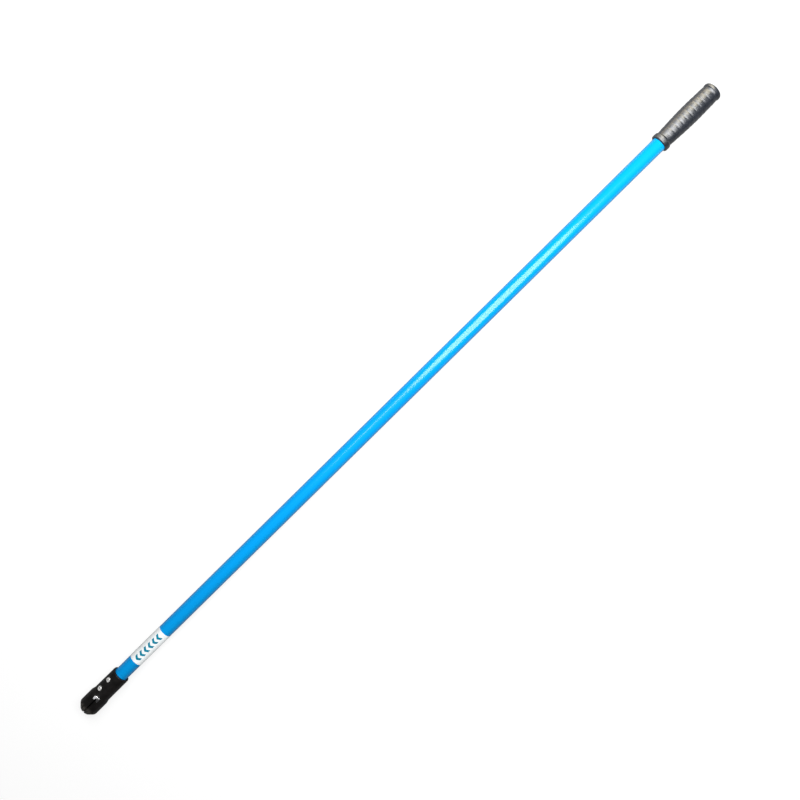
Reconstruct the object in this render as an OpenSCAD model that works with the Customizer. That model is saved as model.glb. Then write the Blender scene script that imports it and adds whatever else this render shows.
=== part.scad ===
// Fixed-length fibreglass extension pole with a quick-connect nose and a vinyl hand grip.
// The pole lies along X: the nose points towards -X, the grip towards +X, and the catch faces +Z.

/* [Pole] */
// Overall length, nose tip to grip end
overall_len = 1524; // [900:1:2400]
// Outside diameter of the fibreglass tube
tube_od = 25.4; // [25:0.1:25.8]
// Wall of the fibreglass tube
tube_wall = 2.5; // [2.2:0.1:2.8]

/* [Connector] */
// Length of the connector, nose tip to mouth
connector_len = 92.5; // [90:0.5:100]
// Diameter of the nose that enters a tool's socket
nose_d = 36.5; // [35.5:0.1:37.5]
// Diameter of the nose's flat front face
nose_tip_d = 21.5; // [18:0.5:24]
// Length of the lead-in cone
lead_in_len = 9; // [7:0.5:10]
// Diameter of the barrel just behind the shoulder
barrel_d = 33; // [32:0.1:34]
// Diameter of the barrel at its mouth
mouth_d = 32.5; // [31.5:0.1:33]
// Place where the shoulder starts to drop from the nose to the barrel
shoulder_start = 35.5; // [34:0.5:36.5]
// Length of the shoulder
shoulder_len = 7.3; // [5:0.1:9]
// Width of the slits along the top and the bottom of the nose
slit_w = 1.6; // [1:0.1:2.4]
// Chamfer along the slits' edges
slit_chamfer = 0.9; // [0.5:0.1:1.2]

/* [Catch] */
// Width of the horseshoe-shaped steel catch, round the nose
catch_w = 11; // [10:0.1:12]
// Length of the catch, along the pole
catch_len = 9.2; // [8.4:0.1:9.2]
// Place of the catch's rear face
catch_rear = 43; // [42:0.1:43]
// Width of the gap between the catch's legs
catch_gap = 3.8; // [3:0.1:5]
// How far the catch stands proud of the nose
catch_proud = 1.3; // [0.8:0.1:1.8]

/* [Rivets] */
// Place of each row's front rivet, from the nose tip
rivet_front = 53.7; // [52:0.1:56]
// Place of each row's rear rivet, from the nose tip
rivet_rear = 75.4; // [68:0.1:82]
// Angle of the first rivet row, round from the catch towards +Y
rivet_angle = 35; // [25:1:60]
// Shank diameter of the blind rivets
rivet_d = 4.8; // [4:0.1:5]
// Head diameter of the blind rivets
rivet_head_d = 9; // [8:0.1:9.6]

/* [Label] */
// Place of the label's edge nearest to the nose
label_start = 130.4; // [100:0.1:300]
// Length of the label along the tube
label_len = 73.5; // [40:0.5:120]

/* [Grip] */
// Length of the hand grip
grip_len = 126.5; // [124:0.5:135]
// Largest diameter of the grip's body
grip_d = 34.1; // [32:0.1:36]
// Spacing of the moulded rings
ring_pitch = 9.65; // [8:0.05:9.9]
// Depth of the grooves between the rings
ring_depth = 0.45; // [0.2:0.05:0.8]

/* [Hidden] */

$fn = 96;
eps = 0.01;
// Gap between pieces that are assembled with a light push fit
fit_gap = 0.05;

// Colours
blue = [0.02, 0.52, 0.86];
black = [0.08, 0.08, 0.085];
charcoal = [0.22, 0.22, 0.23];
bright_metal = [0.8, 0.8, 0.8];
spring_metal = [0.3, 0.31, 0.33];
natural = [0.85, 0.85, 0.82];
label_white = [0.9, 0.97, 0.98];

// Tube and what is in it
tube_r = tube_od / 2;
tube_bore_r = tube_r - tube_wall;
insert_r = tube_bore_r - fit_gap;
sleeve_wall = 1.5;
sleeve_bore_r = insert_r - sleeve_wall;
sleeve_end = 88;
seal_start = 92;
seal_len = 20;

// Connector
nose_r = nose_d / 2;
shell_bore_r = tube_r + fit_gap;
mouth_round = 1.4;
cavity_start = 9;
cavity_end = 43.6;
cavity_w = 17;
cavity_half_h = 12;
cavity_r = 14;
tube_start = 46.5;
throat_r = 9.5;
tip_round = 2.6;
nose_round = 4;
relief_hole_r = 2.5;
relief_hole_place = 37;
// Height from the axis at which both slits stop, so that the tip stays in one piece
slit_floor = 9.5;

// Catch, its wings under the shell's roof and its stud
catch_side_gap = 0.3;
catch_front = catch_rear - catch_len;
catch_corner_r = 3;
catch_top_r = nose_r + catch_proud;
catch_lead_in = 5;
crown_dip = 0.6;
wing_w = catch_w + 2;
wing_top = cavity_half_h - 0.1;
wing_thick = 1.2;
wing_bottom = wing_top - wing_thick;
stud_r = 1.3;
stud_place = catch_rear - 1.8;
catch_gap_end = catch_rear - 3.4;
catch_edge_round = 1;
stud_bottom = 9;
washer_thick = 0.5;
washer_r = 2.1;

// Spring strip
strip_w = 8;
strip_thick = 0.8;
strip_top = wing_bottom - fit_gap;
strip_mid_top = strip_top - strip_thick / 2;
strip_mid_bottom = -cavity_half_h + fit_gap + strip_thick / 2;
bend_place = 17;
bend_r = 3.2;
leg_start = 36;
foot_start = 38;
leg_end = cavity_end - 0.6;

// Rivets
seat_r = 15.9;
seat_d = rivet_head_d + 0.6;
rivet_r = rivet_d / 2;
rivet_bore_r = 1.45;
stem_r = rivet_bore_r - fit_gap;
head_h = 1.35;
head_edge = 0.45;
head_flat_r = rivet_r + 0.3;
head_round = 1.6;
tail_r = 3.4;
tail_bottom = 5.6;
tail_low = 6.4;
tail_high = 7.3;
tail_top = sleeve_bore_r - 0.45;
bulb_r = 2.2;
bulb_bottom = 4;
stem_top = seat_r + head_h - 0.55;

// Grip, with its places measured from its open end
grip_start = overall_len - grip_len;
grip_bore_r = tube_r + fit_gap;
grip_end_wall = 3;
plug_flange_thick = 1.5;
plug_len = 18;
tube_end = overall_len - grip_end_wall - plug_flange_thick;
grip_r = grip_d / 2;
collar_r = 16.5;
collar_len = 8.5;
collar_round = 2.2;
neck_len = 2.5;
neck_depth = 2.5;
first_ring = 21.8;
ring_count = 10;
points_per_ring = 8;
flange_place = grip_len - 8.3;
flange_foot = flange_place + 0.3;
flange_top = flange_place + 1.4;
flange_r = 16.7;
flange_depth = 1.4;
end_round = 4.5;
// How far the grip's body drops below its largest radius, at places from its open end
swell_drop = [
    [14.5, 2.2], [28, 1.55], [41.6, 0.8], [54.7, 0.25], [70, 0],
    [82, 0.05], [93.9, 0.4], [107, 0.7], [flange_place, 1.1]
];

// Label
label_film = 0.15;
label_gap = 0.02;
label_seam = 1.2;

// Unit vector along v
function unit(v) = v / norm(v);

// Points of the arc that rounds corner b of the path a, b, c
function corner(a, b, c, r, n) =
    r == 0 ? [b] :
    let (
        u = unit(a - b),
        w = unit(c - b),
        half = acos(u * w) / 2,
        centre = b + unit(u + w) * r / sin(half),
        start = b + u * r / tan(half),
        first = atan2(start.y - centre.y, start.x - centre.x),
        turn = (180 - 2 * half) * sign(cross(b - a, c - b))
    )
    [for (i = [0:n]) centre + r * [cos(first + turn * i / n), sin(first + turn * i / n)]];

// Outline through points [x, y, corner radius]
function rounded(path, n = 6) =
    let (last = len(path) - 1, flat = [for (p = path) [p.x, p.y]])
    [for (i = [0:last])
        each corner(flat[i == 0 ? last : i - 1], flat[i], flat[i == last ? 0 : i + 1], path[i].z, n)];

// Strip of even thickness along an open line of points
function ribbon_side(line, offset) =
    let (last = len(line) - 1)
    [for (i = [0:last])
        let (along = unit(line[min(i + 1, last)] - line[max(i - 1, 0)]))
        line[i] + offset * [-along.y, along.x]];
function reversed(line) = [for (i = [len(line) - 1:-1:0]) line[i]];
function ribbon(line, thick) =
    concat(ribbon_side(line, thick / 2), reversed(ribbon_side(line, -thick / 2)));

// The pieces are drawn along a local Z that starts at the nose tip, with local Y facing up
module on_pole() {
    translate([-overall_len / 2, 0, nose_r]) rotate([90, 0, 90]) children();
}

// Turns a piece's Z outwards from the pole's axis, at a place along the pole
module outwards(place, angle = 0) {
    translate([0, 0, place]) rotate([0, 0, -angle]) rotate([-90, 0, 0]) children();
}

module ring(outer, inner, start, end) {
    translate([0, 0, start])
        difference() {
            cylinder(r = outer, h = end - start);
            translate([0, 0, -1]) cylinder(r = inner, h = end - start + 2);
        }
}

module rod(r, start, end) {
    translate([0, 0, start]) cylinder(r = r, h = end - start);
}

// Box centred on the local Z axis in X, between two heights in Y and two places in Z
module box_between(w, low, high, start, end) {
    translate([-w / 2, low, start]) cube([w, high - low, end - start]);
}

module pole_tube() {
    color(blue)
        on_pole()
            difference() {
                ring(tube_r, tube_bore_r, tube_start, tube_end);
                rivet_holes();
            }
}

module connector_outline() {
    rotate_extrude()
        polygon(rounded([
            [0, 0, 0],
            [nose_tip_d / 2, 0, tip_round],
            [nose_r, lead_in_len, nose_round],
            [nose_r, shoulder_start, nose_round],
            [barrel_d / 2, shoulder_start + shoulder_len, nose_round],
            [mouth_d / 2, connector_len, mouth_round],
            [0, connector_len, 0]
        ]));
}

module nose_cavity() {
    intersection() {
        box_between(cavity_w, -cavity_half_h, cavity_half_h, cavity_start, cavity_end);
        rod(cavity_r, cavity_start - 1, cavity_end + 1);
    }
}

// Plan of the catch: square legs towards the nose tip, a round-cornered closed end behind
module catch_plan(w, front, rear, r) {
    translate([-w / 2, front]) square([w, rear - front - r]);
    translate([-w / 2 + r, front]) square([w - 2 * r, rear - front]);
    for (side = [-1, 1])
        translate([side * (w / 2 - r), rear - r]) circle(r = r);
}

// Stands a plan, drawn in X and along the pole, up from one height to another
module raise(low, high) {
    translate([0, high, 0]) rotate([90, 0, 0]) linear_extrude(high - low) children();
}

module catch_window() {
    raise(0, nose_r + 2)
        catch_plan(
            catch_w + 2 * catch_side_gap,
            catch_front - catch_side_gap,
            catch_rear + catch_side_gap,
            catch_corner_r
        );
}

// V groove that takes the edges off a slit, on top (side 1) or underneath (side -1)
module slit_edges(side, end) {
    half_w = slit_w / 2 + slit_chamfer;
    surface = sqrt(pow(nose_r, 2) - pow(half_w, 2));
    translate([0, 0, -1])
        linear_extrude(end + 1)
            polygon([
                [0, side * (surface - half_w)],
                [half_w + 2, side * (surface + 2)],
                [-half_w - 2, side * (surface + 2)]
            ]);
}

// Sets a rivet's feature in place: row 0 lies beside the catch, row 1 opposite
module at_rivet(place, row) {
    outwards(place, rivet_angle + 180 * row) children();
}

module rivet_holes() {
    for (row = [0:1], place = [rivet_front, rivet_rear])
        at_rivet(place, row) cylinder(r = rivet_r + fit_gap, h = nose_r + 1);
}

module rivet_seats() {
    for (row = [0:1], place = [rivet_front, rivet_rear])
        at_rivet(place, row) translate([0, 0, seat_r]) cylinder(r = seat_d / 2, h = 3);
}

module connector_shell() {
    color(black)
        on_pole()
            difference() {
                connector_outline();
                rod(shell_bore_r, tube_start, connector_len + 1);
                rod(throat_r, cavity_end - 1, tube_start + 1);
                nose_cavity();
                box_between(slit_w, slit_floor, nose_r + 1, -1, catch_front);
                box_between(slit_w, -nose_r - 1, -slit_floor, -1, relief_hole_place);
                slit_edges(1, catch_front);
                slit_edges(-1, relief_hole_place);
                outwards(relief_hole_place, 180) cylinder(r = relief_hole_r, h = nose_r + 1);
                catch_window();
                rivet_holes();
                rivet_seats();
            }
}

module backing_sleeve() {
    color(bright_metal)
        on_pole()
            difference() {
                ring(insert_r, sleeve_bore_r, tube_start, sleeve_end);
                rivet_holes();
            }
}

module bottom_seal_plug() {
    color(natural)
        on_pole()
            translate([0, 0, seal_start])
                rotate_extrude()
                    polygon(rounded([
                        [0, 0, 0],
                        [insert_r, 0, 1.5],
                        [insert_r, seal_len, 1.5],
                        [0, seal_len, 0]
                    ]));
}

module top_plug() {
    color(natural)
        on_pole()
            translate([0, 0, tube_end])
                rotate_extrude()
                    polygon(rounded([
                        [0, plug_flange_thick, 0],
                        [0, -plug_len, 0],
                        [insert_r, -plug_len, 2],
                        [insert_r, 0, 0],
                        [tube_r - fit_gap, 0, 0],
                        [tube_r - fit_gap, plug_flange_thick, 0.6]
                    ]));
}

// Blind rivet, set: dome head outside, shank, and the collapsed tail inside the sleeve
module rivet_body(place, row) {
    color(bright_metal)
        on_pole()
            at_rivet(place, row)
                rotate_extrude($fn = 64)
                    polygon(rounded([
                        [rivet_bore_r, tail_bottom, 0],
                        [rivet_r + 0.2, tail_bottom, 0.4],
                        [tail_r, tail_low, 0.4],
                        [tail_r, tail_high, 0.4],
                        [rivet_r, tail_top, 0],
                        [rivet_r, seat_r + fit_gap, 0],
                        [rivet_head_d / 2, seat_r + fit_gap, 0],
                        [rivet_head_d / 2, seat_r + head_edge, 0.2],
                        [head_flat_r, seat_r + head_h, head_round],
                        [rivet_bore_r, seat_r + head_h, 0.25]
                    ]));
}

// Broken-off stem that stays in the rivet, with its bulb under the tail
module rivet_stem(place, row) {
    color(spring_metal)
        on_pole()
            at_rivet(place, row)
                rotate_extrude($fn = 64)
                    polygon(rounded([
                        [0, bulb_bottom, 0],
                        [bulb_r, bulb_bottom, 0.6],
                        [bulb_r, tail_bottom - fit_gap, 0.2],
                        [stem_r, tail_bottom - fit_gap, 0],
                        [stem_r, stem_top, 0.2],
                        [0, stem_top, 0]
                    ]));
}

module rivet_body_front() { rivet_body(rivet_front, 0); }
module rivet_body_rear() { rivet_body(rivet_rear, 0); }
module rivet_body_front_under() { rivet_body(rivet_front, 1); }
module rivet_body_rear_under() { rivet_body(rivet_rear, 1); }
module rivet_stem_front() { rivet_stem(rivet_front, 0); }
module rivet_stem_rear() { rivet_stem(rivet_rear, 0); }
module rivet_stem_front_under() { rivet_stem(rivet_front, 1); }
module rivet_stem_rear_under() { rivet_stem(rivet_rear, 1); }

// The gap between the catch's legs, open towards the nose tip
module catch_gap_cut() {
    round_place = catch_gap_end - catch_gap / 2;
    raise(stud_bottom, nose_r + 3) {
        translate([-catch_gap / 2, catch_front - 1])
            square([catch_gap, round_place - catch_front + 1]);
        translate([0, round_place]) circle(d = catch_gap);
    }
}

// Space that the catch's top keeps inside: a ramp from the front, then level, round-edged behind
module catch_crown() {
    rotate_extrude()
        polygon(rounded([
            [0, catch_front - 1, 0],
            [nose_r - crown_dip, catch_front - 1, 0],
            [nose_r - crown_dip, catch_front, 0],
            [catch_top_r, catch_front + catch_lead_in, 4],
            [catch_top_r, catch_rear, catch_edge_round],
            [0, catch_rear, 0]
        ]));
}

module snap_catch() {
    color(bright_metal)
        on_pole() {
            difference() {
                union() {
                    intersection() {
                        raise(wing_bottom, nose_r + 3)
                            catch_plan(catch_w, catch_front, catch_rear, catch_corner_r);
                        catch_crown();
                    }
                    raise(wing_bottom, wing_top)
                        catch_plan(wing_w, catch_front, catch_rear - eps, catch_corner_r + 1);
                }
                catch_gap_cut();
            }
            outwards(stud_place) rod(stud_r, stud_bottom, wing_bottom + eps);
        }
}

module catch_washer() {
    color(spring_metal)
        on_pole()
            outwards(stud_place)
                ring(washer_r, stud_r + fit_gap,
                    strip_top - strip_thick - fit_gap - washer_thick,
                    strip_top - strip_thick - fit_gap);
}

// V-shaped strip: the bend lies near the tip, one leg carries the catch, the other stands on the
// cavity's floor. Points are [place along the pole, height].
module catch_spring() {
    bend = [for (a = [110:20:250]) [bend_place + bend_r * cos(a), bend_r * sin(a)]];
    line = concat(
        [[leg_end, strip_mid_top], [leg_start, strip_mid_top]],
        bend,
        [[foot_start, strip_mid_bottom], [leg_end, strip_mid_bottom]]
    );
    color(spring_metal)
        on_pole()
            difference() {
                rotate([0, -90, 0])
                    translate([0, 0, -strip_w / 2])
                        linear_extrude(strip_w) polygon(ribbon(line, strip_thick));
                outwards(stud_place) rod(stud_r + 0.2, 0, nose_r);
            }
}

// Radius of the grip's ringed body: a long swell with a groove between each two rings
function groove(g) = pow(0.5 - 0.5 * cos(360 * (g - first_ring) / ring_pitch), 2);
function body_r(g) = grip_r - lookup(g, swell_drop) - ring_depth * groove(g);

module hand_grip() {
    body_start = first_ring - ring_pitch / 2;
    step = ring_pitch / points_per_ring;
    body = [for (i = [0:ring_count * points_per_ring])
        let (g = body_start + i * step) [body_r(g), g, 0]];
    color(charcoal)
        on_pole()
            translate([0, 0, grip_start])
                rotate_extrude()
                    polygon(rounded(concat(
                        [
                            [0, grip_len - grip_end_wall, 0],
                            [grip_bore_r, grip_len - grip_end_wall, 0.5],
                            [grip_bore_r, 0, 0.4],
                            [collar_r, 0, collar_round],
                            [collar_r, collar_len, collar_round],
                            [grip_r - neck_depth, collar_len + neck_len, 1]
                        ],
                        body,
                        [
                            [grip_r - flange_depth, flange_foot, 0],
                            [flange_r, flange_top, 0.6],
                            [flange_r, grip_len, end_round],
                            [0, grip_len, 0]
                        ]
                    )));
}

// Printed film round the tube, its two ends meeting at a narrow gap underneath
module label_wrap() {
    inner = tube_r + label_gap;
    label_end = label_start + label_len;
    color(label_white)
        on_pole()
            difference() {
                ring(inner + label_film, inner, label_start, label_end);
                box_between(label_seam, -nose_r, 0, label_start - 1, label_end + 1);
            }
}

pole_tube();
connector_shell();
backing_sleeve();
bottom_seal_plug();
top_plug();
rivet_body_front();
rivet_body_rear();
rivet_body_front_under();
rivet_body_rear_under();
rivet_stem_front();
rivet_stem_rear();
rivet_stem_front_under();
rivet_stem_rear_under();
snap_catch();
catch_washer();
catch_spring();
hand_grip();
label_wrap();
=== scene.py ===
import math

import bmesh
import bpy
from mathutils import Matrix, Vector


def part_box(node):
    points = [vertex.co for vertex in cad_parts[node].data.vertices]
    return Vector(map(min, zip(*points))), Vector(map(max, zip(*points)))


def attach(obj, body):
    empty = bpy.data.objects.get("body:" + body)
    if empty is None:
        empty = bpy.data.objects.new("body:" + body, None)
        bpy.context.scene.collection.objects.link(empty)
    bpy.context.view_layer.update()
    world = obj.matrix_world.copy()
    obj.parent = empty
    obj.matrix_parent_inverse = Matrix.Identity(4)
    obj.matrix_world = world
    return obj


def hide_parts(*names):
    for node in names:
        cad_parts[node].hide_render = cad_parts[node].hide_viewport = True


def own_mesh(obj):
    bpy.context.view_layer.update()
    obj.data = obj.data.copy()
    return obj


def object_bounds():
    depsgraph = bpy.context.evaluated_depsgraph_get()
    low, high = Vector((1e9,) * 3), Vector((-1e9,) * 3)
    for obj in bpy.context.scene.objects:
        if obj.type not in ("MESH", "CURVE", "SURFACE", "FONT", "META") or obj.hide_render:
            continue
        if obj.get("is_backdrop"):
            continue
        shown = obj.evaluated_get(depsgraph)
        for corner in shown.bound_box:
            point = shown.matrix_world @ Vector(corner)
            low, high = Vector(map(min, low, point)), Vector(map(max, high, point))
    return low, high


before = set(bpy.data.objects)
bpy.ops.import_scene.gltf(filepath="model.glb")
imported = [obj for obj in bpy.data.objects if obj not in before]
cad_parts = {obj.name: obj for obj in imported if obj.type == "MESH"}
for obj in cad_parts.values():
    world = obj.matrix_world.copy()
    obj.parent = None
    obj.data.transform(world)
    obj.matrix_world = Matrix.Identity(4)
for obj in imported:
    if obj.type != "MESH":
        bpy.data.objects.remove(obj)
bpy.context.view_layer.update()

# ---------------------------------------------------------------------------------------------
# Sizes. Lengths named in millimetres are turned into metres by MM; places are measured along
# the pole from the nose tip, and angles go round the pole from straight up towards +Y.
# ---------------------------------------------------------------------------------------------
MM = 0.001
SHELL_LOW, SHELL_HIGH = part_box("connector_shell")
TUBE_LOW, TUBE_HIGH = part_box("pole_tube")
GRIP_LOW, GRIP_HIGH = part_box("hand_grip")
LABEL_LOW, LABEL_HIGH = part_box("label_wrap")
CATCH_LOW, CATCH_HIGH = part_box("snap_catch")
SPRING_LOW, SPRING_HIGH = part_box("catch_spring")

TIP_X = SHELL_LOW.x
AXIS_Z = (TUBE_LOW.z + TUBE_HIGH.z) / 2


def place_of(x):
    """Place along the pole, in millimetres from the nose tip, of an x in the frame."""
    return (x - TIP_X) / MM


TUBE_R = (TUBE_HIGH.y - TUBE_LOW.y) / 2 / MM
TUBE_WALL = 2.5
TUBE_START = place_of(TUBE_LOW.x)
TUBE_END = place_of(TUBE_HIGH.x)
NOSE_R = (SHELL_HIGH.y - SHELL_LOW.y) / 2 / MM
MOUTH = place_of(SHELL_HIGH.x)
GRIP_START = place_of(GRIP_LOW.x)
GRIP_LEN = place_of(GRIP_HIGH.x) - GRIP_START
GRIP_R = (GRIP_HIGH.y - GRIP_LOW.y) / 2 / MM
LABEL_START = place_of(LABEL_LOW.x)
LABEL_LEN = place_of(LABEL_HIGH.x) - LABEL_START
LABEL_R = (LABEL_HIGH.y - LABEL_LOW.y) / 2 / MM
CATCH_FRONT = place_of(CATCH_LOW.x)
CATCH_REAR = place_of(CATCH_HIGH.x)
RIVET_ANGLE = math.radians(35)
# Gap between the tube and what is pushed over it, and at the strip's end
FIT_GAP = 0.05
# Radius under which a profile's point counts as lying on the axis
ON_AXIS = 1e-6


def spot(place, radius=0.0, angle=0.0):
    """Point in the frame, from a place along the pole, a radius and an angle round it."""
    return Vector((
        TIP_X + place * MM,
        radius * MM * math.sin(angle),
        AXIS_Z + radius * MM * math.cos(angle),
    ))


# ---------------------------------------------------------------------------------------------
# Mesh helpers
# ---------------------------------------------------------------------------------------------
def plain_piece(bm, name):
    """Turns a bmesh into a flat-shaded object in the scene."""
    mesh = bpy.data.meshes.new(name)
    bm.to_mesh(mesh)
    bm.free()
    piece = bpy.data.objects.new(name, mesh)
    bpy.context.scene.collection.objects.link(piece)
    return piece


def shade(piece, sharp_deg):
    """Shades a piece smooth, apart from its edges over sharp_deg."""
    piece.data.shade_smooth()
    piece.data.set_sharp_from_angle(angle=math.radians(sharp_deg))


def finish_mesh(bm, name, sharp_deg=32):
    """Turns a bmesh into a smooth-shaded object whose edges over sharp_deg stay crisp."""
    bmesh.ops.recalc_face_normals(bm, faces=bm.faces)
    piece = plain_piece(bm, name)
    shade(piece, sharp_deg)
    return piece


def rounded(path, steps):
    """Outline through (x, y, corner rounding) points, with an arc of so many steps at a corner."""
    out = []
    for i, (x, y, r) in enumerate(path):
        here = Vector((x, y))
        if r == 0:
            out.append(here)
            continue
        before = (Vector(path[i - 1][:2]) - here).normalized()
        after = (Vector(path[(i + 1) % len(path)][:2]) - here).normalized()
        half = before.angle(after) / 2
        centre = here + (before + after).normalized() * (r / math.sin(half))
        start = here + before * (r / math.tan(half)) - centre
        turn = math.pi - 2 * half
        if (-before).cross(after) < 0:
            turn = -turn
        for k in range(steps + 1):
            out.append(centre + Matrix.Rotation(turn * k / steps, 2) @ start)
    return out


def lathe(profile, sides, closed=False):
    """bmesh of a profile of (place, radius) points turned round the pole's axis."""
    bm = bmesh.new()
    rings = []
    for x, r in profile:
        if r < ON_AXIS:
            rings.append([bm.verts.new(spot(x))])
            continue
        rings.append([bm.verts.new(spot(x, r, 2 * math.pi * k / sides)) for k in range(sides)])
    pairs = list(zip(rings, rings[1:]))
    if closed:
        pairs.append((rings[-1], rings[0]))
    for one, two in pairs:
        for k in range(sides):
            n = (k + 1) % sides
            if len(one) == 1 and len(two) == 1:
                continue
            if len(one) == 1:
                bm.faces.new((one[0], two[k], two[n]))
            elif len(two) == 1:
                bm.faces.new((one[k], two[0], one[n]))
            else:
                bm.faces.new((one[k], two[k], two[n], one[n]))
    return bm


def prism(outline, low, high):
    """bmesh of an outline of (place, sideways) points raised from one height above the axis to
    another."""
    bm = bmesh.new()
    rings = [
        [bm.verts.new((TIP_X + x * MM, y * MM, AXIS_Z + height * MM)) for x, y in outline]
        for height in (low, high)
    ]
    bm.faces.new(rings[0])
    bm.faces.new(rings[1])
    n = len(outline)
    for k in range(n):
        m = (k + 1) % n
        bm.faces.new((rings[0][k], rings[0][m], rings[1][m], rings[1][k]))
    bmesh.ops.recalc_face_normals(bm, faces=bm.faces)
    return bm


def carve(piece, cutters):
    """Cuts the pieces in cutters out of piece and removes them."""
    for cutter in cutters:
        cut = piece.modifiers.new("cut", "BOOLEAN")
        cut.object = cutter
        cut.operation = "DIFFERENCE"
        cut.solver = "EXACT"
    graph = bpy.context.evaluated_depsgraph_get()
    graph.update()
    uncut = piece.data
    carved = bpy.data.meshes.new_from_object(piece.evaluated_get(graph))
    piece.modifiers.clear()
    piece.data = carved
    bpy.data.meshes.remove(uncut)
    for cutter in cutters:
        bpy.data.objects.remove(cutter)


def dress(piece, material, body, node):
    """Gives a piece its material and body, and hides the CAD node it stands for."""
    piece.data.materials.clear()
    piece.data.materials.append(material)
    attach(piece, body)
    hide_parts(node)
    return piece


# ---------------------------------------------------------------------------------------------
# Material helpers
# ---------------------------------------------------------------------------------------------
class Shader:
    """A Principled material with short ways to add textures to it."""

    def __init__(self, name, roughness, metallic=0.0, ior=1.5, **fixed):
        self.material = bpy.data.materials.new(name)
        self.material.use_nodes = True
        self.tree = self.material.node_tree
        self.bsdf = self.tree.nodes["Principled BSDF"]
        self.bsdf.inputs["Roughness"].default_value = roughness
        self.bsdf.inputs["Metallic"].default_value = metallic
        self.bsdf.inputs["IOR"].default_value = ior
        for key, value in fixed.items():
            self.bsdf.inputs[key.replace("_", " ")].default_value = value
        self.coords = self.add("ShaderNodeTexCoord").outputs["Object"]

    def add(self, kind, **settings):
        made = self.tree.nodes.new(kind)
        for key, value in settings.items():
            setattr(made, key, value)
        return made

    def join(self, source, target):
        self.tree.links.new(source, target)

    def maths(self, operation, *values):
        """Output of a maths node; each value is a number or another node's output."""
        made = self.add("ShaderNodeMath", operation=operation)
        for socket, value in zip(made.inputs, values):
            if isinstance(value, (int, float)):
                socket.default_value = value
            else:
                self.join(value, socket)
        return made.outputs[0]

    def noise(self, scale, detail, rough, stretch=(1, 1, 1)):
        """Noise of about scale features in a metre, times stretch along each axis."""
        mapping = self.add("ShaderNodeMapping")
        mapping.inputs["Scale"].default_value = stretch
        self.join(self.coords, mapping.inputs["Vector"])
        made = self.add("ShaderNodeTexNoise")
        made.inputs["Scale"].default_value = scale
        made.inputs["Detail"].default_value = detail
        made.inputs["Roughness"].default_value = rough
        self.join(mapping.outputs[0], made.inputs["Vector"])
        return made.outputs["Fac"]

    def spread(self, value, low, high, to_low=0.0, to_high=1.0):
        """Output that runs from to_low to to_high as the value runs from low to high."""
        made = self.add("ShaderNodeMapRange")
        made.inputs["From Min"].default_value = low
        made.inputs["From Max"].default_value = high
        made.inputs["To Min"].default_value = to_low
        made.inputs["To Max"].default_value = to_high
        self.join(value, made.inputs["Value"])
        return made.outputs[0]

    def mix(self, factor, a, b):
        """Colour between a and b; each is a colour or another node's output."""
        made = self.add("ShaderNodeMix", data_type="RGBA")
        factor_in, a_in, b_in = made.inputs[0], made.inputs[6], made.inputs[7]
        self.join(factor, factor_in)
        for socket, value in ((a_in, a), (b_in, b)):
            if isinstance(value, tuple):
                socket.default_value = (*value, 1.0)
            else:
                self.join(value, socket)
        return made.outputs[2]

    def colour(self, value):
        self.join(value, self.bsdf.inputs["Base Color"])

    def roughness(self, value):
        self.join(value, self.bsdf.inputs["Roughness"])

    def bump(self, height, strength, distance):
        made = self.add("ShaderNodeBump")
        made.inputs["Strength"].default_value = strength
        made.inputs["Distance"].default_value = distance
        self.join(height, made.inputs["Height"])
        self.join(made.outputs[0], self.bsdf.inputs["Normal"])

    def axes(self):
        made = self.add("ShaderNodeSeparateXYZ")
        self.join(self.coords, made.inputs[0])
        return made.outputs

    def place(self):
        """Place along the pole, in millimetres from the nose tip."""
        return self.maths("MULTIPLY", self.maths("SUBTRACT", self.axes()[0], TIP_X), 1 / MM)

    def angle(self):
        """Angle round the pole, in radians from straight up towards +Y."""
        _, y, z = self.axes()
        return self.maths("ARCTAN2", y, self.maths("SUBTRACT", z, AXIS_Z))


def blue_fibreglass():
    look = Shader("blue_fibreglass", 0.16, ior=1.5)
    streaks = look.noise(1.0, 5, 0.6, (3.0, 520.0, 520.0))
    cloud = look.noise(9.0, 3, 0.5, (0.6, 8.0, 8.0))
    deep = look.mix(look.spread(streaks, 0.3, 0.7), (0.0008, 0.31, 0.81), (0.0016, 0.375, 0.89))
    azure = look.mix(look.spread(cloud, 0.35, 0.65, 0.0, 0.35), deep, (0.0012, 0.40, 0.90))
    # Painted light: over the last 30% of the tube, towards the grip, the blue is blended into a lighter,
    # greener blue. This stands in for the stronger light that falls on that end.
    look.colour(look.mix(look.spread(look.place(), 0.7 * TUBE_END, TUBE_END), azure, (0.002, 0.46, 0.92)))
    look.roughness(look.spread(streaks, 0.3, 0.7, 0.13, 0.22))
    look.bump(streaks, 0.10, 0.00012)
    return look.material


def black_nylon():
    look = Shader("black_nylon", 0.38, ior=1.45, Specular_IOR_Level=0.4)
    spark = look.noise(2600.0, 3, 0.6)
    cloud = look.noise(70.0, 4, 0.6)
    scuff = look.maths(
        "MULTIPLY",
        look.spread(look.place(), 1.0, 17.0, 1.0, 0.0),
        look.spread(look.noise(220.0, 5, 0.7, (0.5, 1.0, 1.0)), 0.40, 0.57),
    )
    base = look.mix(look.spread(cloud, 0.35, 0.65), (0.0065, 0.006, 0.0058), (0.0115, 0.0105, 0.010))
    look.colour(look.mix(look.maths("MULTIPLY", scuff, 0.8), base, (0.17, 0.155, 0.135)))
    look.roughness(look.spread(cloud, 0.3, 0.7, 0.36, 0.5))
    look.bump(spark, 0.22, 0.00008)
    return look.material


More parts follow.
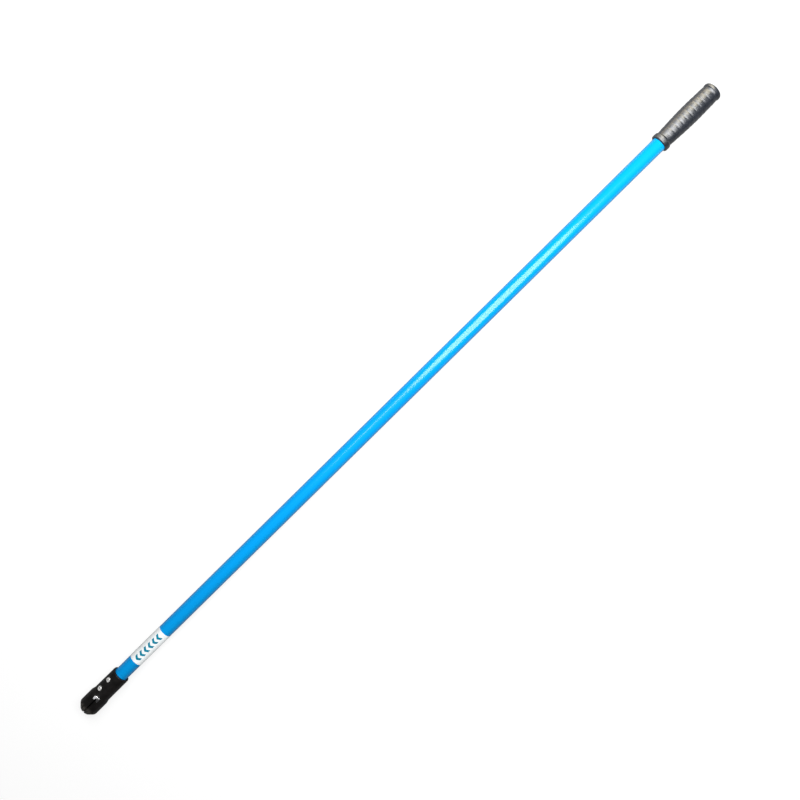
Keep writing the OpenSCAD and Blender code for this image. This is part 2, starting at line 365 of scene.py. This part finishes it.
def charcoal_vinyl():
    look = Shader("charcoal_vinyl", 0.3, ior=1.7)
    grain = look.noise(1900.0, 4, 0.6)
    cloud = look.noise(60.0, 4, 0.6)
    rub = look.noise(260.0, 5, 0.65, (2.2, 1.0, 1.0))
    base = look.mix(look.spread(cloud, 0.35, 0.65), (0.008, 0.0105, 0.0155), (0.015, 0.018, 0.025))
    look.colour(look.mix(look.spread(rub, 0.55, 0.8, 0.0, 0.4), base, (0.04, 0.042, 0.046)))
    look.roughness(look.spread(rub, 0.35, 0.7, 0.31, 0.42))
    look.bump(grain, 0.22, 0.00012)
    return look.material


def bright_aluminium():
    look = Shader("bright_aluminium", 0.4, metallic=1.0)
    pits = look.noise(1500.0, 4, 0.6)
    cloud = look.noise(300.0, 3, 0.5)
    look.colour(look.mix(look.spread(cloud, 0.35, 0.65), (0.80, 0.79, 0.77), (0.92, 0.915, 0.90)))
    look.roughness(look.spread(pits, 0.35, 0.65, 0.34, 0.48))
    look.bump(pits, 0.12, 0.00004)
    return look.material


def mill_aluminium():
    look = Shader("mill_aluminium", 0.38, metallic=1.0)
    drawn = look.noise(1.0, 4, 0.6, (12.0, 900.0, 900.0))
    look.colour(look.mix(look.spread(drawn, 0.35, 0.65), (0.62, 0.63, 0.64), (0.76, 0.77, 0.78)))
    look.roughness(look.spread(drawn, 0.3, 0.7, 0.3, 0.46))
    look.bump(drawn, 0.12, 0.00006)
    return look.material


def snapped_steel():
    look = Shader("snapped_steel", 0.5, metallic=1.0)
    torn = look.noise(1700.0, 5, 0.7)
    look.colour(look.mix(look.spread(torn, 0.35, 0.65), (0.09, 0.09, 0.095), (0.27, 0.265, 0.26)))
    look.roughness(look.spread(torn, 0.3, 0.7, 0.42, 0.62))
    look.bump(torn, 0.5, 0.0002)
    return look.material


def nickel_steel():
    look = Shader("nickel_steel", 0.22, metallic=1.0)
    fine = look.noise(900.0, 5, 0.65, (0.35, 1.0, 1.0))
    cloud = look.noise(240.0, 4, 0.6)
    look.colour(look.mix(look.spread(cloud, 0.35, 0.65), (0.68, 0.68, 0.70), (0.88, 0.88, 0.89)))
    look.roughness(look.spread(fine, 0.35, 0.65, 0.16, 0.34))
    look.bump(fine, 0.1, 0.00005)
    return look.material


def blued_steel():
    look = Shader("blued_steel", 0.36, metallic=1.0)
    cloud = look.noise(180.0, 4, 0.6)
    rolled = look.noise(1.0, 4, 0.6, (60.0, 1500.0, 1500.0))
    look.colour(look.mix(look.spread(cloud, 0.3, 0.7), (0.035, 0.04, 0.055), (0.085, 0.085, 0.095)))
    look.roughness(look.spread(rolled, 0.3, 0.7, 0.28, 0.46))
    look.bump(rolled, 0.12, 0.00004)
    return look.material


def natural_polythene():
    look = Shader("natural_polythene", 0.45, ior=1.5)
    cloud = look.noise(90.0, 4, 0.6)
    look.colour(look.mix(look.spread(cloud, 0.3, 0.7), (0.66, 0.66, 0.62), (0.76, 0.755, 0.71)))
    look.roughness(look.spread(cloud, 0.3, 0.7, 0.38, 0.52))
    look.bump(look.noise(1200.0, 3, 0.5), 0.12, 0.00008)
    return look.material


# Row of plain arrow heads on the label, in millimetres: how far in it starts, from one arrow head
# to the next, how many there are, how thick and half as high each is, and how much it slopes
PRINT_MARGIN = 5.6
ARROW_PITCH = 10.4
ARROW_COUNT = 6
ARROW_STROKE = 5.0
ARROW_HALF_H = 6.1
ARROW_SLOPE = 0.62
ROW_END = ARROW_COUNT * ARROW_PITCH - 0.5
KEEP_POSITIVE = 10 * ARROW_PITCH


def printed_film():
    """White film with a row of arrow heads, printed once above and once below."""
    look = Shader("printed_film", 0.22, ior=1.5)
    from_top = look.maths("WRAP", look.angle(), math.pi / 2, -math.pi / 2)
    across = look.maths("ABSOLUTE", look.maths("MULTIPLY", from_top, LABEL_R))
    along = look.maths("SUBTRACT", look.place(), LABEL_START + PRINT_MARGIN)
    along = look.maths("SUBTRACT", along, look.maths("MULTIPLY", across, ARROW_SLOPE))
    step = look.maths("MODULO", look.maths("ADD", along, KEEP_POSITIVE), ARROW_PITCH)
    in_stroke = look.maths("LESS_THAN", step, ARROW_STROKE)
    in_height = look.maths("LESS_THAN", across, ARROW_HALF_H)
    ink = look.maths("MULTIPLY", in_stroke, in_height)
    ink = look.maths("MULTIPLY", ink, look.maths("GREATER_THAN", along, 0.0))
    ink = look.maths("MULTIPLY", ink, look.maths("LESS_THAN", along, ROW_END))
    cloud = look.noise(120.0, 4, 0.6)
    film = look.mix(look.spread(cloud, 0.3, 0.7), (0.90, 0.95, 0.96), (0.95, 0.975, 0.98))
    teal = look.mix(look.spread(cloud, 0.3, 0.7), (0.002, 0.20, 0.31), (0.005, 0.25, 0.38))
    look.colour(look.mix(ink, film, teal))
    look.roughness(look.spread(cloud, 0.3, 0.7, 0.18, 0.3))
    look.bump(look.noise(500.0, 3, 0.5), 0.06, 0.00006)
    return look.material


FLOOR_DULL = (0.3, 0.3, 0.3, 1)
FLOOR_GLOW = 0.8


def pale_floor():
    """Pale, with weak shadows; it throws back only part of the light that falls on it."""
    look = Shader("pale_floor", 0.9)
    tree = look.tree
    out = tree.nodes["Material Output"]
    tree.nodes.remove(look.bsdf)
    tint = look.mix(look.noise(3.0, 3, 0.5), (0.24, 0.24, 0.24), (0.27, 0.27, 0.27))
    seen, lit, glow, dull = (look.add(kind) for kind in (
        "ShaderNodeAddShader", "ShaderNodeBsdfDiffuse", "ShaderNodeEmission", "ShaderNodeBsdfDiffuse"
    ))
    look.join(tint, lit.inputs["Color"])
    dull.inputs["Color"].default_value = FLOOR_DULL
    glow.inputs["Strength"].default_value = FLOOR_GLOW
    look.join(lit.outputs[0], seen.inputs[0])
    look.join(glow.outputs[0], seen.inputs[1])
    choose = look.add("ShaderNodeMixShader")
    look.join(look.add("ShaderNodeLightPath").outputs["Is Camera Ray"], choose.inputs[0])
    look.join(dull.outputs[0], choose.inputs[1])
    look.join(seen.outputs[0], choose.inputs[2])
    look.join(choose.outputs[0], out.inputs["Surface"])
    return look.material


# ---------------------------------------------------------------------------------------------
# Tube and label
# ---------------------------------------------------------------------------------------------
TUBE_EDGE = 0.3
TUBE_SIDES = 144


def make_tube(material):
    """The tube, with its four edges rounded off."""
    bore = TUBE_R - TUBE_WALL
    profile = rounded([
        (TUBE_START, bore, TUBE_EDGE),
        (TUBE_START, TUBE_R, TUBE_EDGE),
        (TUBE_END, TUBE_R, TUBE_EDGE),
        (TUBE_END, bore, TUBE_EDGE),
    ], 3)
    bm = lathe(profile, TUBE_SIDES, closed=True)
    piece = finish_mesh(bm, "fibreglass_tube")
    return dress(piece, material, "pole", "pole_tube")


LABEL_SEAM_HALF = math.radians(2.6)
LABEL_FILM = 0.14
LABEL_GAP = 0.025
LABEL_CORNER = 2.0


def make_label(material):
    """The film, bent round the tube into a sleeve that is open at its seam underneath."""
    bm = bmesh.new()
    turns, rows = 160, 24
    layers = []
    for radius in (TUBE_R + LABEL_GAP, TUBE_R + LABEL_GAP + LABEL_FILM):
        grid = []
        for k in range(turns + 1):
            a = -math.pi + LABEL_SEAM_HALF + (2 * math.pi - 2 * LABEL_SEAM_HALF) * k / turns
            from_edge = (math.pi - LABEL_SEAM_HALF - abs(a)) * radius
            inset = 0.0
            if from_edge < LABEL_CORNER:
                run = LABEL_CORNER - from_edge
                inset = LABEL_CORNER - math.sqrt(max(LABEL_CORNER**2 - run**2, 0.0))
            start, end = LABEL_START + inset, LABEL_START + LABEL_LEN - inset
            places = [start + (end - start) * j / rows for j in range(rows + 1)]
            grid.append([bm.verts.new(spot(place, radius, a)) for place in places])
        layers.append(grid)
    inner, outer = layers
    for grid in layers:
        for k in range(turns):
            for j in range(rows):
                bm.faces.new((grid[k][j], grid[k + 1][j], grid[k + 1][j + 1], grid[k][j + 1]))
    for k in range(turns):
        for j in (0, rows):
            bm.faces.new((inner[k][j], inner[k + 1][j], outer[k + 1][j], outer[k][j]))
    for j in range(rows):
        for k in (0, turns):
            bm.faces.new((inner[k][j], inner[k][j + 1], outer[k][j + 1], outer[k][j]))
    piece = finish_mesh(bm, "printed_label")
    return dress(piece, material, "pole", "label_wrap")


# ---------------------------------------------------------------------------------------------
# Connector
# ---------------------------------------------------------------------------------------------
NOSE_TIP_R = 10.75
LEAD_IN = 9.0
SHOULDER = (35.5, 42.8)
BARREL_R, MOUTH_R = 16.5, 16.25
SLIT_HALF_W = 0.8
SLIT_CHAMFER = 0.9
# Height from the axis at which both slits stop, so that the tip stays in one piece
SLIT_FLOOR = 9.5
CAVITY_PLACES = (9.0, 43.6)
CAVITY_HALF_W, CAVITY_HALF_H = 8.5, 12.0
THROAT_R = 9.5
THROAT_END = CAVITY_PLACES[1] - 0.6
SHELL_BORE_R = TUBE_R + FIT_GAP
# Flat seats under the rivet heads: height of their floor from the axis, and their own radius
SEAT_HEIGHT, SEAT_R = 15.9, 4.8
RIVET_PLACES = (53.7, 75.4)
RIVET_HOLE_R, RIVET_HOLE_FROM = 2.45, 11
# Round hole underneath, at the end of the lower slit
RELIEF_PLACE, RELIEF_R, RELIEF_FROM = 37.0, 2.5, 2
WINDOW_GAP, WINDOW_CORNER = 0.3, 3.0
CATCH_HALF_W = 5.5
# How far a cutter stands out of the surface that it cuts, and how far it stays inside another cut
CUT_PAST, CUT_OVERLAP = 1.0, 0.02
SHELL_SIDES = 192


def shell_outline():
    """Half section of the connector before it is cut, from the tip round to the throat's end."""
    return rounded([
        (0.0, 0.0, 0),
        (0.0, NOSE_TIP_R, 2.6),
        (LEAD_IN, NOSE_R, 4.0),
        (SHOULDER[0], NOSE_R, 4.0),
        (SHOULDER[1], BARREL_R, 4.0),
        (MOUTH, MOUTH_R, 1.4),
        (MOUTH, SHELL_BORE_R, 0.5),
        (TUBE_START, SHELL_BORE_R, 0),
        (TUBE_START, THROAT_R, 0.3),
        (THROAT_END, THROAT_R, 0),
        (THROAT_END, 0.0, 0),
    ], 8)


def outward(piece, place, angle):
    """Turns a piece that was made pointing up from the origin outwards from the pole's axis."""
    move = Matrix.Translation(spot(place)) @ Matrix.Rotation(-angle, 4, "X")
    piece.data.transform(move)
    return piece


def drill(name, radius, low, high, sides=48):
    """A cylinder cutter that points up from the origin."""
    bm = bmesh.new()
    bmesh.ops.create_cone(
        bm, cap_ends=True, segments=sides, radius1=radius * MM, radius2=radius * MM,
        depth=(high - low) * MM, matrix=Matrix.Translation((0, 0, (low + high) / 2 * MM)),
    )
    return plain_piece(bm, name)


def box_cutter(name, places, half_w, heights):
    """A box cutter between two places along the pole and two heights from its axis."""
    start, end = places
    outline = [(start, -half_w), (end, -half_w), (end, half_w), (start, half_w)]
    return plain_piece(prism(outline, *heights), name)


def slit_chamfer(name, end_place, side):
    """A V-shaped cutter that follows the nose's outline and takes the slit's edges off."""
    bm = bmesh.new()
    line = [Vector((-0.01, -CUT_PAST))]
    reach = min(end_place, SHOULDER[0])
    line += [p for p in shell_outline() if p.x <= reach and p.y > 0]
    line.append(Vector((end_place, line[-1].y)))
    half_low, half_high = SLIT_HALF_W - CUT_OVERLAP, SLIT_HALF_W + SLIT_CHAMFER + CUT_PAST
    rings = []
    for i, p in enumerate(line):
        ahead, behind = line[min(i + 1, len(line) - 1)], line[max(i - 1, 0)]
        out = Vector((-(ahead - behind).y, (ahead - behind).x)).normalized()
        low, high = p - out * SLIT_CHAMFER, p + out * CUT_PAST
        corners = ((low, -half_low), (low, half_low), (high, half_high), (high, -half_high))
        rings.append([
            bm.verts.new((TIP_X + q.x * MM, y * MM, AXIS_Z + side * q.y * MM)) for q, y in corners
        ])
    for one, two in zip(rings, rings[1:]):
        for k in range(4):
            n = (k + 1) % 4
            bm.faces.new((one[k], two[k], two[n], one[n]))
    bm.faces.new(rings[0])
    bm.faces.new(rings[-1])
    bmesh.ops.recalc_face_normals(bm, faces=bm.faces)
    return plain_piece(bm, name)


def window_cutter(name):
    """A cutter with the catch's plan and a gap round it: square in front, round-cornered behind."""
    half_w = CATCH_HALF_W + WINDOW_GAP
    front, rear = CATCH_FRONT - WINDOW_GAP, CATCH_REAR + WINDOW_GAP
    plan = rounded([
        (front, -half_w, 0),
        (front, half_w, 0),
        (rear, half_w, WINDOW_CORNER),
        (rear, -half_w, WINDOW_CORNER),
    ], 8)
    return plain_piece(prism(plan, 0, NOSE_R + 2 * CUT_PAST), name)


def make_connector(material):
    """The turned shell with its cavity, slits, window, relief hole and rivet holes cut out."""
    shell = finish_mesh(lathe(shell_outline(), SHELL_SIDES), "connector")
    outside = NOSE_R + CUT_PAST
    slit_top, slit_under = (-CUT_PAST, CATCH_FRONT), (-CUT_PAST, RELIEF_PLACE)
    cutters = [
        box_cutter("cavity", CAVITY_PLACES, CAVITY_HALF_W, (-CAVITY_HALF_H, CAVITY_HALF_H)),
        box_cutter("slit_top", slit_top, SLIT_HALF_W, (SLIT_FLOOR, outside)),
        box_cutter("slit_under", slit_under, SLIT_HALF_W, (-outside, -SLIT_FLOOR)),
        slit_chamfer("chamfer_top", CATCH_FRONT - WINDOW_GAP, 1),
        slit_chamfer("chamfer_under", RELIEF_PLACE - RELIEF_R, -1),
        outward(drill("relief", RELIEF_R, RELIEF_FROM, outside), RELIEF_PLACE, math.pi),
        window_cutter("window"),
    ]
    for place in RIVET_PLACES:
        for angle in (RIVET_ANGLE, RIVET_ANGLE + math.pi):
            hole = drill("hole", RIVET_HOLE_R, RIVET_HOLE_FROM, outside)
            seat = drill("seat", SEAT_R, SEAT_HEIGHT, outside, 64)
            cutters += [outward(hole, place, angle), outward(seat, place, angle)]
    carve(shell, cutters)
    shade(shell, 28)
    return dress(shell, material, "pole", "connector_shell")


# ---------------------------------------------------------------------------------------------
# Spring strip
# ---------------------------------------------------------------------------------------------
STRIP_HALF_W, STRIP_HALF_T, STRIP_EDGE = 4.0, 0.4, 0.3
# Bend: its place and radius, the angle at which its arc starts, and how far it turns
BEND_PLACE, BEND_R, BEND_FROM, BEND_TURN, BEND_STEPS = 17.0, 3.2, 105, 150, 12
# Places at which the flat ends start, under the catch and on the cavity's floor
UPPER_FLAT, LOWER_FLAT = 36.0, 38.0
# Hole for the catch's stud: its radius, how far before the catch's rear, and where its cutter starts
STUD_HOLE_R, STUD_BEFORE_REAR, STUD_HOLE_FROM = 1.5, 1.8, 2


def strip_line():
    """Middle line of the strip, seen from the side, as (place, height from the axis) points."""
    top = (SPRING_HIGH.z - AXIS_Z) / MM - STRIP_HALF_T
    bottom = (SPRING_LOW.z - AXIS_Z) / MM + STRIP_HALF_T
    end = place_of(SPRING_HIGH.x) - FIT_GAP
    line = [Vector((end, top)), Vector((UPPER_FLAT, top))]
    for k in range(BEND_STEPS + 1):
        a = math.radians(BEND_FROM + BEND_TURN * k / BEND_STEPS)
        line.append(Vector((BEND_PLACE + BEND_R * math.cos(a), BEND_R * math.sin(a))))
    return line + [Vector((LOWER_FLAT, bottom)), Vector((end, bottom))]


def make_spring(material):
    """V-shaped strip with rounded edges, swept along its own line."""
    edge = rounded([
        (-STRIP_HALF_W, -STRIP_HALF_T, STRIP_EDGE),
        (STRIP_HALF_W, -STRIP_HALF_T, STRIP_EDGE),
        (STRIP_HALF_W, STRIP_HALF_T, STRIP_EDGE),
        (-STRIP_HALF_W, STRIP_HALF_T, STRIP_EDGE),
    ], 3)
    line = strip_line()
    bm = bmesh.new()
    rings = []
    for i, p in enumerate(line):
        step = (line[min(i + 1, len(line) - 1)] - line[max(i - 1, 0)]).normalized()
        out = Vector((-step.y, step.x))
        ring = []
        for y, t in edge:
            q = p + out * t
            ring.append(bm.verts.new((TIP_X + q.x * MM, y * MM, AXIS_Z + q.y * MM)))
        rings.append(ring)
    n = len(edge)
    for one, two in zip(rings, rings[1:]):
        for k in range(n):
            m = (k + 1) % n
            bm.faces.new((one[k], two[k], two[m], one[m]))
    bm.faces.new(rings[0])
    bm.faces.new(rings[-1])
    piece = finish_mesh(bm, "spring_strip", 40)
    stud_hole = drill("stud_hole", STUD_HOLE_R, STUD_HOLE_FROM, NOSE_R)
    carve(piece, [outward(stud_hole, CATCH_REAR - STUD_BEFORE_REAR, 0)])
    dress(piece, material, "pole", "catch_spring")
    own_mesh(piece)


# ---------------------------------------------------------------------------------------------
# Grip
# ---------------------------------------------------------------------------------------------
RING_PITCH = 9.65
RING_COUNT = 10
FIRST_RING = 21.8
RING_DEPTH = 0.27
COLLAR_R, COLLAR_LEN = 16.5, 8.5
FLANGE_PLACE, FLANGE_R = 118.2, 16.7
GRIP_BORE_R = TUBE_R + FIT_GAP
GRIP_END_WALL = 3.0
# Places from the grip's open end, and how much the body's radius there differs from GRIP_R
SWELL = [
    (14.5, -2.2), (28, -1.55), (41.6, -0.8), (54.7, -0.25), (70, 0.0),
    (82, -0.05), (93.9, -0.4), (107, -0.7), (FLANGE_PLACE, -1.1),
]
SWELL_REACH, SWELL_SAMPLES = 7.0, 9
STEPS_PER_RING = 24
GRIP_SIDES = 128


def swell(g):
    """Radius of the grip's body at g millimetres from its open end, straight between points."""
    for (g0, r0), (g1, r1) in zip(SWELL, SWELL[1:]):
        if g <= g1:
            t = (g - g0) / (g1 - g0)
            return GRIP_R + r0 + (r1 - r0) * t
    return GRIP_R + SWELL[-1][1]


def smooth_swell(g):
    """The same, averaged over a stretch of SWELL_REACH, so that the swell has no corners."""
    total = 0.0
    for k in range(SWELL_SAMPLES):
        near = g + SWELL_REACH * (k / (SWELL_SAMPLES - 1) - 0.5)
        total += swell(min(max(near, SWELL[0][0]), SWELL[-1][0]))
    return total / SWELL_SAMPLES


def ring_groove(g):
    """0 on a ring's crest, 1 in the narrow groove between two rings."""
    wave = 0.5 - 0.5 * math.cos(2 * math.pi * (g - FIRST_RING) / RING_PITCH)
    return wave**3


def make_grip(material):
    """A closed-ended sleeve with a collar, a ringed and swelling body, and an end flange."""
    start, end = FIRST_RING - RING_PITCH / 2, FIRST_RING + RING_PITCH * (RING_COUNT - 0.5)
    steps = RING_COUNT * STEPS_PER_RING
    body = [
        (g, smooth_swell(g) - RING_DEPTH * ring_groove(g), 0)
        for g in (start + (end - start) * k / steps for k in range(steps + 1))
    ]
    path = [
        (GRIP_LEN - GRIP_END_WALL, 0.0, 0),
        (GRIP_LEN - GRIP_END_WALL, GRIP_BORE_R, 0.5),
        (0.0, GRIP_BORE_R, 0.4),
        (0.0, COLLAR_R, 2.2),
        (COLLAR_LEN, COLLAR_R, 2.2),
        (COLLAR_LEN + 2.5, GRIP_R - 2.5, 1.0),
        *body,
        (FLANGE_PLACE + 0.3, GRIP_R - 1.4, 0),
        (FLANGE_PLACE + 1.4, FLANGE_R, 0.6),
        (GRIP_LEN, FLANGE_R, 4.5),
        (GRIP_LEN, 0.0, 0),
    ]
    profile = [(GRIP_START + p.x, p.y) for p in rounded(path, 8)]
    piece = finish_mesh(lathe(profile, GRIP_SIDES), "vinyl_grip", 50)
    return dress(piece, material, "pole", "hand_grip")


# ---------------------------------------------------------------------------------------------
# CAD pieces that keep their own shape
# ---------------------------------------------------------------------------------------------
def paint_node(node, material):
    """Gives a CAD node its material."""
    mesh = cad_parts[node].data
    mesh.materials.clear()
    mesh.materials.append(material)


# ---------------------------------------------------------------------------------------------
# Camera, floor and lights
# ---------------------------------------------------------------------------------------------
LENS_MM = 38.25
# The camera looks at this place along the pole, a little to one side of its axis
AIM_PLACE, AIM_SIDE = 784.6, -0.73
CAMERA_AIM = spot(AIM_PLACE) + Vector((0, AIM_SIDE * MM, 0))
CAMERA_DISTANCE = 1.464
CAMERA_NEAR = 0.05
CAMERA_TILT = math.radians(3.25)
POLE_SLOPE = math.radians(44.6)


def make_camera():
    """Looks down on the pole, leaning a little towards the grip, with the grip up on the right."""
    back = Vector((math.sin(CAMERA_TILT), 0, math.cos(CAMERA_TILT)))
    along = Vector((math.cos(CAMERA_TILT), 0, -math.sin(CAMERA_TILT)))
    away = Vector((0, 1, 0))
    right = along * math.cos(POLE_SLOPE) - away * math.sin(POLE_SLOPE)
    up = along * math.sin(POLE_SLOPE) + away * math.cos(POLE_SLOPE)
    data = bpy.data.cameras.new("camera")
    data.lens = LENS_MM
    data.clip_start = CAMERA_NEAR
    camera = bpy.data.objects.new("camera", data)
    turn = Matrix((right, up, back)).transposed().to_4x4()
    camera.matrix_world = Matrix.Translation(CAMERA_AIM + back * CAMERA_DISTANCE) @ turn
    bpy.context.scene.collection.objects.link(camera)
    bpy.context.scene.camera = camera


FLOOR_HALF = 9.0
FLOOR_GAP = 0.0002


def make_floor(material):
    """A plain square just under the pole."""
    bm = bmesh.new()
    bmesh.ops.create_grid(bm, x_segments=8, y_segments=8, size=FLOOR_HALF)
    floor = plain_piece(bm, "floor")
    floor.location.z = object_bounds()[0].z - FLOOR_GAP
    floor.data.materials.append(material)
    floor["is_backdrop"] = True


WHITE, COOL, WARM, AMBER = (1, 1, 1), (0.88, 0.92, 1.0), (1.0, 0.91, 0.68), (1.0, 0.86, 0.62)
OVAL, OBLONG = "ELLIPSE", "RECTANGLE"
KEY_SLANT = math.radians(7)
AT_GRIP = (0.7, 0, 0.03)


def soft_box(name, shape, centre, target, size, radiance, colour=WHITE):
    """An area light that faces a target, in metres; radiance is its brightness, whatever its size."""
    data = bpy.data.lights.new(name, "AREA")
    data.shape = shape
    data.size, data.size_y = size
    area = size[0] * size[1] * (math.pi / 4 if shape == OVAL else 1.0)
    data.energy = radiance * math.pi * area
    data.color = colour
    light = bpy.data.objects.new(name, data)
    centre, target = Vector(centre), Vector(target)
    light.location = centre
    light.rotation_euler = (centre - target).to_track_quat("Z", "Y").to_euler()
    bpy.context.scene.collection.objects.link(light)
    return light


def light_only(name, lights, pieces):
    """Keeps small effect lights on the pieces that they are meant for."""
    lit = bpy.data.collections.new(name)
    for piece in pieces:
        lit.objects.link(piece)
    for light in lights:
        light.light_linking.receiver_collection = lit


def light_pole():
    """A large oval box over the pole, turned a little, and a small one that draws out its end."""
    key = soft_box("key", OVAL, (0.545, 0.2, 1.55), (0.545, 0.2, 0), (1.02, 2.6), 8.7)
    key.rotation_euler.z += KEY_SLANT
    soft_box("key_tail", OVAL, (-0.15, 0.42, 1.55), (-0.15, 0.42, 0), (0.7, 0.26), 5.5)


def light_grip(grip):
    """A cool box towards the collar, a warm one towards the end, and a low one for the edge."""
    boxes = [
        soft_box("cool_box", OBLONG, (0.90, 0.64, 1.32), AT_GRIP, (0.9, 1.8), 4.9, COOL),
        soft_box("warm_box", OBLONG, (1.76, 0.88, 0.98), AT_GRIP, (0.9, 2.1), 8.6, WARM),
        soft_box("edge_box", OBLONG, (1.15, 1.40, 0.35), AT_GRIP, (1.4, 0.6), 3.2, AMBER),
    ]
    light_only("lit_by_grip_boxes", boxes, [grip])


def light_metal(metal):
    """Two dim cards for the catch and the rivet heads."""
    cards = [
        soft_box("catch_card", OBLONG, (-1.65, 0.35, 0.8), (-0.72, 0, 0.04), (0.7, 1.3), 0.9),
        soft_box("rivet_card", OBLONG, (-1.3, 1.2, 0.5), (-0.7, 0, 0.03), (1.1, 0.8), 1.3),
    ]
    light_only("lit_by_cards", cards, metal)


def light_label(label):
    """A card on the near side, which keeps the label's lower half white."""
    card = soft_box("label_card", OVAL, (-0.6, -1.1, 0.75), (-0.6, 0, 0.02), (1.0, 0.9), 2.0)
    light_only("lit_by_label_card", [card], [label])


DIM_WORLD, PALE_WORLD = 0.04, 0.95


def make_world():
    """Pale behind the floor's edge where the camera sees it, and dim as a light."""
    world = bpy.data.worlds.new("studio")
    bpy.context.scene.world = world
    world.use_nodes = True
    tree = world.node_tree
    tree.nodes.clear()
    out = tree.nodes.new("ShaderNodeOutputWorld")
    mix = tree.nodes.new("ShaderNodeMixShader")
    path = tree.nodes.new("ShaderNodeLightPath")
    dim, pale = (tree.nodes.new("ShaderNodeBackground") for _ in range(2))
    dim.inputs["Color"].default_value = (1, 1, 1, 1)
    dim.inputs["Strength"].default_value = DIM_WORLD
    pale.inputs["Color"].default_value = (1, 1, 1, 1)
    pale.inputs["Strength"].default_value = PALE_WORLD
    tree.links.new(path.outputs["Is Camera Ray"], mix.inputs[0])
    tree.links.new(dim.outputs[0], mix.inputs[1])
    tree.links.new(pale.outputs[0], mix.inputs[2])
    tree.links.new(mix.outputs[0], out.inputs[0])
    bpy.context.scene.view_settings.view_transform = "Standard"


make_camera()
make_floor(pale_floor())
make_world()

make_tube(blue_fibreglass())
film_label = make_label(printed_film())
make_connector(black_nylon())
vinyl_grip = make_grip(charcoal_vinyl())
blued = blued_steel()
make_spring(blued)
paint_node("catch_washer", blued)
paint_node("snap_catch", nickel_steel())
paint_node("backing_sleeve", mill_aluminium())
polythene = natural_polythene()
paint_node("bottom_seal_plug", polythene)
paint_node("top_plug", polythene)
aluminium, steel = bright_aluminium(), snapped_steel()
for row in ("", "_under"):
    for end in ("front", "rear"):
        paint_node(f"rivet_body_{end}{row}", aluminium)
        paint_node(f"rivet_stem_{end}{row}", steel)
bright_nodes = [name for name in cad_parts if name.startswith("rivet") or name == "snap_catch"]
light_pole()
light_grip(vinyl_grip)
light_metal([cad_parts[name] for name in bright_nodes])
light_label(film_label)
